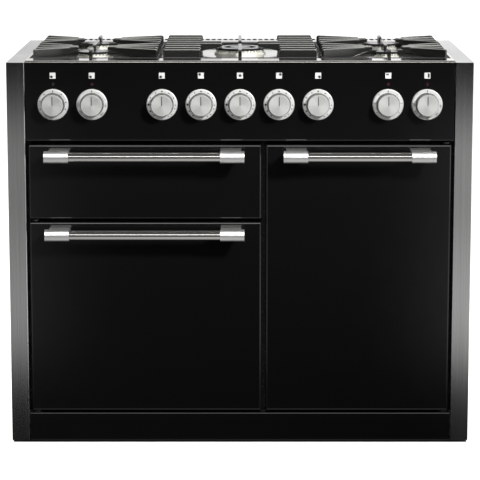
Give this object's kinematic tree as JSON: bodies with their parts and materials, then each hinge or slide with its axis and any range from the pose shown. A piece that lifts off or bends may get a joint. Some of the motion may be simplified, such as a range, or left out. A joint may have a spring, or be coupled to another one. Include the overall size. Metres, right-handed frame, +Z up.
{
  "type": "range cooker",
  "caption": "Free-standing dual-fuel range cooker: black front, gas hob with cast-iron pan supports, side-opening ovens, glide-out grill and bar handles.",
  "frame": {"origin": "on the floor under the middle of the whole box, handles included", "axes": "+X to the viewer's right, +Y from the front to the back, +Z up"},
  "size_m": [1.082, 0.664, 0.928],
  "materials": {
    "brushed_stainless": "satin brushed stainless steel",
    "black_enamel": "high-gloss black vitreous enamel",
    "oven_enamel": "dark grey speckled oven enamel",
    "side_paint": "semi-gloss black paint",
    "zinc_steel": "zinc-coated steel sheet",
    "cast_iron": "matt black enamelled cast iron",
    "burner_alloy": "die-cast aluminium",
    "burner_enamel": "matt black enamel on steel",
    "knob_metal": "spun satin metal",
    "bar_chrome": "polished steel",
    "sleeve_metal": "satin cast metal",
    "seal_rubber": "matt rubber",
    "lens_plastic": "tinted clear plastic",
    "gas_brass": "machined brass",
    "switch_plastic": "moulded plastic",
    "wire_chrome": "chromed wire",
    "element_steel": "oxidised stainless sheath"
  },
  "bodies": {
    "chassis": {"base_frame": "zinc_steel", "levelling_feet": "zinc_steel", "left_side_panel": "side_paint", "right_side_panel": "side_paint", "side_trims": "brushed_stainless", "back_panel": "zinc_steel", "plinth": "black_enamel", "fascia_panel": "black_enamel", "knob_bezels": "knob_metal", "indicator_lenses": "lens_plastic", "hob_top": "brushed_stainless", "burner_heads": "burner_alloy", "burner_caps": "burner_enamel", "gas_rail": "zinc_steel", "gas_taps": "gas_brass", "rotary_switches": "switch_plastic", "left_oven_cavity": "oven_enamel", "right_oven_cavity": "oven_enamel", "grill_cavity": "oven_enamel", "oven_shelves": "wire_chrome", "oven_seals": "seal_rubber", "fan_covers": "oven_enamel", "fan_motors": "zinc_steel", "heating_elements": "element_steel", "hinge_brackets": "zinc_steel", "runner_rails": "zinc_steel"},
    "left_door": {"left_door_panel": "black_enamel", "left_door_liner": "oven_enamel", "left_handle_bar": "bar_chrome", "left_handle_ends": "sleeve_metal"},
    "right_door": {"right_door_panel": "black_enamel", "right_door_liner": "oven_enamel", "right_handle_bar": "bar_chrome", "right_handle_ends": "sleeve_metal"},
    "grill_drawer": {"grill_front_panel": "black_enamel", "grill_handle_bar": "bar_chrome", "grill_handle_ends": "sleeve_metal", "grill_carriage": "zinc_steel", "grill_pan": "oven_enamel", "grill_trivet": "wire_chrome"},
    "runner_middles": {"runner_middles": "zinc_steel"},
    "left_fan": {"left_fan": "zinc_steel"},
    "right_fan": {"right_fan": "zinc_steel"},
    "pan_support_left": {"pan_support_left": "cast_iron"},
    "pan_support_centre": {"pan_support_centre": "cast_iron"},
    "pan_support_right": {"pan_support_right": "cast_iron"},
    "tap_rotor_front_left": {"tap_rotor_front_left": "gas_brass"},
    "gas_knob_front_left": {"gas_knob_front_left": "knob_metal"},
    "tap_rotor_rear_left": {"tap_rotor_rear_left": "gas_brass"},
    "gas_knob_rear_left": {"gas_knob_rear_left": "knob_metal"},
    "tap_rotor_centre": {"tap_rotor_centre": "gas_brass"},
    "gas_knob_centre": {"gas_knob_centre": "knob_metal"},
    "tap_rotor_rear_right": {"tap_rotor_rear_right": "gas_brass"},
    "gas_knob_rear_right": {"gas_knob_rear_right": "knob_metal"},
    "tap_rotor_front_right": {"tap_rotor_front_right": "gas_brass"},
    "gas_knob_front_right": {"gas_knob_front_right": "knob_metal"},
    "left_oven_mode_knob": {"left_oven_mode_knob": "knob_metal"},
    "left_oven_heat_knob": {"left_oven_heat_knob": "knob_metal"},
    "grill_heat_knob": {"grill_heat_knob": "knob_metal"},
    "right_oven_heat_knob": {"right_oven_heat_knob": "knob_metal"}
  },
  "joints": [
    {"name": "left_door_swing", "type": "hinge", "parent": "chassis", "child": "left_door", "pos_m": [-0.48, -0.256, 0.3], "axis": [0, 0, -1], "range_deg": [0, 100]},
    {"name": "right_door_swing", "type": "hinge", "parent": "chassis", "child": "right_door", "pos_m": [0.48, -0.256, 0.4], "axis": [0, 0, 1], "range_deg": [0, 100]},
    {"name": "grill_slide", "type": "slide", "parent": "chassis", "child": "grill_drawer", "axis": [0, -1, 0], "range_m": [0, 0.3]},
    {"name": "runner_slide", "type": "slide", "parent": "chassis", "child": "runner_middles", "axis": [0, -1, 0], "range_m": [0, 0.15]},
    {"name": "left_fan_spin", "type": "hinge", "parent": "chassis", "child": "left_fan", "pos_m": [-0.221, 0.16, 0.303], "axis": [0, 1, 0], "continuous": true},
    {"name": "right_fan_spin", "type": "hinge", "parent": "chassis", "child": "right_fan", "pos_m": [0.2763, 0.16, 0.393], "axis": [0, 1, 0], "continuous": true},
    {"name": "pan_support_left_lift", "type": "slide", "parent": "chassis", "child": "pan_support_left", "axis": [0, 0, 1], "range_m": [0, 0.15]},
    {"name": "pan_support_centre_lift", "type": "slide", "parent": "chassis", "child": "pan_support_centre", "axis": [0, 0, 1], "range_m": [0, 0.15]},
    {"name": "pan_support_right_lift", "type": "slide", "parent": "chassis", "child": "pan_support_right", "axis": [0, 0, 1], "range_m": [0, 0.15]},
    {"name": "gas_front_left_turn", "type": "hinge", "parent": "chassis", "child": "tap_rotor_front_left", "pos_m": [-0.1807, -0.268, 0.8074], "axis": [0, -1, 0], "range_deg": [0, 210]},
    {"name": "gas_front_left_push", "type": "slide", "parent": "tap_rotor_front_left", "child": "gas_knob_front_left", "axis": [0, 1, 0], "range_m": [0, 0.0035], "stiffness_N_per_m": 1500},
    {"name": "gas_rear_left_turn", "type": "hinge", "parent": "chassis", "child": "tap_rotor_rear_left", "pos_m": [-0.09035, -0.268, 0.8074], "axis": [0, -1, 0], "range_deg": [0, 210]},
    {"name": "gas_rear_left_push", "type": "slide", "parent": "tap_rotor_rear_left", "child": "gas_knob_rear_left", "axis": [0, 1, 0], "range_m": [0, 0.0035], "stiffness_N_per_m": 1500},
    {"name": "gas_centre_turn", "type": "hinge", "parent": "chassis", "child": "tap_rotor_centre", "pos_m": [0, -0.268, 0.8074], "axis": [0, -1, 0], "range_deg": [0, 210]},
    {"name": "gas_centre_push", "type": "slide", "parent": "tap_rotor_centre", "child": "gas_knob_centre", "axis": [0, 1, 0], "range_m": [0, 0.0035], "stiffness_N_per_m": 1500},
    {"name": "gas_rear_right_turn", "type": "hinge", "parent": "chassis", "child": "tap_rotor_rear_right", "pos_m": [0.09035, -0.268, 0.8074], "axis": [0, -1, 0], "range_deg": [0, 210]},
    {"name": "gas_rear_right_push", "type": "slide", "parent": "tap_rotor_rear_right", "child": "gas_knob_rear_right", "axis": [0, 1, 0], "range_m": [0, 0.0035], "stiffness_N_per_m": 1500},
    {"name": "gas_front_right_turn", "type": "hinge", "parent": "chassis", "child": "tap_rotor_front_right", "pos_m": [0.1807, -0.268, 0.8074], "axis": [0, -1, 0], "range_deg": [0, 210]},
    {"name": "gas_front_right_push", "type": "slide", "parent": "tap_rotor_front_right", "child": "gas_knob_front_right", "axis": [0, 1, 0], "range_m": [0, 0.0035], "stiffness_N_per_m": 1500},
    {"name": "left_oven_mode_turn", "type": "hinge", "parent": "chassis", "child": "left_oven_mode_knob", "pos_m": [-0.43315, -0.268, 0.8074], "axis": [0, 1, 0], "continuous": true},
    {"name": "left_oven_heat_turn", "type": "hinge", "parent": "chassis", "child": "left_oven_heat_knob", "pos_m": [-0.3428, -0.268, 0.8074], "axis": [0, 1, 0], "range_deg": [0, 270]},
    {"name": "grill_heat_turn", "type": "hinge", "parent": "chassis", "child": "grill_heat_knob", "pos_m": [0.3428, -0.268, 0.8074], "axis": [0, 1, 0], "range_deg": [0, 270]},
    {"name": "right_oven_heat_turn", "type": "hinge", "parent": "chassis", "child": "right_oven_heat_knob", "pos_m": [0.43315, -0.268, 0.8074], "axis": [0, 1, 0], "range_deg": [0, 270]}
  ],
  "couplings": [
    {"joint": "runner_slide", "follows": "grill_slide", "ratio": 0.5}
  ]
}
